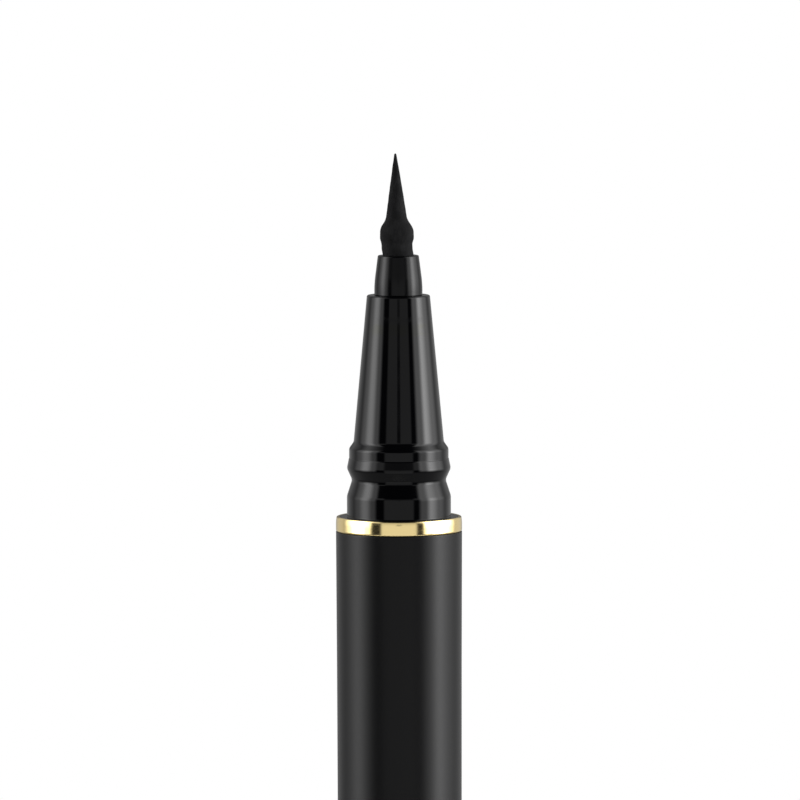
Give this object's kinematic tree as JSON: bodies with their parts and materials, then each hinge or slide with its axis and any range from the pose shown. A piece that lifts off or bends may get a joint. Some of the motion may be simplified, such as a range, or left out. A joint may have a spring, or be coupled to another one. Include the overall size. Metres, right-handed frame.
{
  "type": "liquid eyeliner pen",
  "caption": "Slim eyeliner pen with a felt point, glossy tapered front, gold trim ring, matt barrel and a posted cap that pulls off and holds a sprung inner cap.",
  "frame": {"origin": "centre of the closed end of the posted cap, on which the pen stands", "axes": "+Z along the pen from the cap's closed end to the point of the nib; the pen is round about Z"},
  "size_m": [0.0106, 0.0106, 0.1605],
  "materials": {
    "felt": "ink-black pressed polyester felt",
    "front_plastic": "black moulded plastic, polished",
    "trim_metal": "gold anodised aluminium, polished",
    "barrel_plastic": "black plastic with a matt coat",
    "wick_fibre": "ink-soaked bonded fibre",
    "inner_plastic": "natural polypropylene",
    "seal_rubber": "black rubber",
    "steel": "stainless steel"
  },
  "bodies": {
    "pen": {"barrel": "barrel_plastic", "tail_plug": "barrel_plastic", "trim_ring": "trim_metal", "front_section": "front_plastic", "nib_holder": "front_plastic", "nib": "felt", "feed_wick": "wick_fibre", "collector": "inner_plastic", "ink_tank": "inner_plastic", "tank_gasket": "seal_rubber"},
    "cap": {"cap_shell": "barrel_plastic", "inner_cap_retainer": "inner_plastic", "inner_cap_spring": "steel"},
    "inner_cap": {"inner_cap": "inner_plastic"},
    "agitator_ball": {"agitator_ball": "steel"}
  },
  "joints": [
    {"name": "cap_pull", "type": "slide", "parent": "cap", "child": "pen", "axis": [0, 0, 1], "range_m": [0, 0.03]},
    {"name": "inner_cap_press", "type": "slide", "parent": "cap", "child": "inner_cap", "axis": [0, 0, -1], "range_m": [0, 0.002], "stiffness_N_per_m": 300, "springref_m": -0.001, "deforming": ["inner_cap_spring"]},
    {"name": "ball_shake", "type": "slide", "parent": "pen", "child": "agitator_ball", "axis": [0, 0, 1], "range_m": [0, 0.036]}
  ]
}
